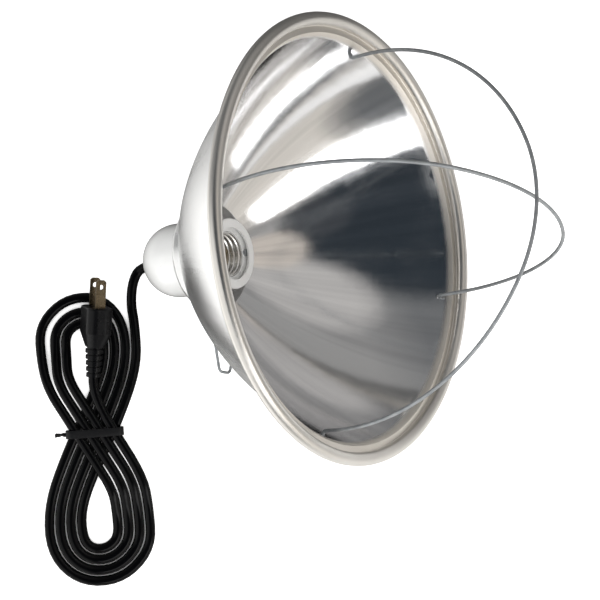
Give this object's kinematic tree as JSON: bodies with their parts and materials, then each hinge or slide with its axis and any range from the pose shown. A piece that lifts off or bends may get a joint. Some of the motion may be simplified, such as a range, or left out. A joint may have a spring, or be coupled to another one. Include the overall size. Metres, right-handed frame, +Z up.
{
  "type": "heat lamp",
  "caption": "Heat lamp with a spun metal bowl reflector, a porcelain screw socket, crossing hinged wire guard hoops, a hanging ring and a cord tied in a hank.",
  "frame": {"origin": "on the floor, under the middle of the box of the lamp without its cord", "axes": "+X along the floor the way the bowl faces, +Y across the bowl, +Z up from the floor"},
  "size_m": [0.3258, 0.3315, 0.2251],
  "materials": {
    "spun_aluminium": "spun and polished inside, satin outside",
    "zinc_steel": "zinc plated wire and strip",
    "porcelain": "white glaze",
    "plated_brass": "nickel plated, bright",
    "brass": "plain strip",
    "blade_brass": "dull brass blades",
    "fibre": "pressed fibre",
    "black_pvc": "satin black",
    "black_rubber": "matt black",
    "tie_plastic": "black coated tie",
    "core_black": "black insulation",
    "core_white": "white insulation"
  },
  "bodies": {
    "lamp": {"cap_screws": "zinc_steel", "contact_base": "brass", "contact_rivet": "brass", "cord_bushing": "black_rubber", "cord_hank": "black_pvc", "cord_lead": "black_pvc", "cord_tail": "black_pvc", "hanger_rivets": "zinc_steel", "hanger_strap": "zinc_steel", "hank_tie": "tie_plastic", "insulating_disc": "fibre", "live_conductor": "core_black", "live_terminal": "brass", "live_terminal_screw": "zinc_steel", "neutral_conductor": "core_white", "neutral_terminal": "brass", "neutral_terminal_screw": "zinc_steel", "plug_blade_live": "blade_brass", "plug_blade_neutral": "blade_brass", "plug_body": "black_pvc", "reflector": "spun_aluminium", "retaining_ring": "porcelain", "screw_shell": "plated_brass", "shell_rivet": "brass", "socket_body": "porcelain", "socket_cap": "porcelain", "socket_gasket": "fibre"},
    "outer_guard": {"outer_guard_wire": "zinc_steel"},
    "inner_guard": {"inner_guard_wire": "zinc_steel"},
    "contact_leaf": {"centre_contact": "brass"},
    "hanging_ring": {"hanging_ring": "zinc_steel"}
  },
  "joints": [
    {"name": "outer_guard_hinge", "type": "hinge", "parent": "lamp", "child": "outer_guard", "pos_m": [-0.00899, 0, 0.09807], "axis": [-0.2029, -0.9478, 0.2461], "range_deg": [-65.6, 54.4]},
    {"name": "inner_guard_hinge", "type": "hinge", "parent": "lamp", "child": "inner_guard", "pos_m": [-0.00981, -0.0039, 0.09906], "axis": [-0.6044, 0.3123, 0.7329], "range_deg": [-19.3, 15.7]},
    {"name": "contact_leaf_hinge", "type": "hinge", "parent": "lamp", "child": "contact_leaf", "pos_m": [-0.08754, 0.0018, 0.03331], "axis": [0.6362, 0, -0.7715], "range_deg": [0, 20], "stiffness_Nm_per_rad": 0.06},
    {"name": "hanging_ring_hinge", "type": "hinge", "parent": "lamp", "child": "hanging_ring", "pos_m": [-0.0784, -0.04588, 0.05304], "axis": [0.6232, -0.2011, -0.7558], "range_deg": [-20, 110]}
  ]
}
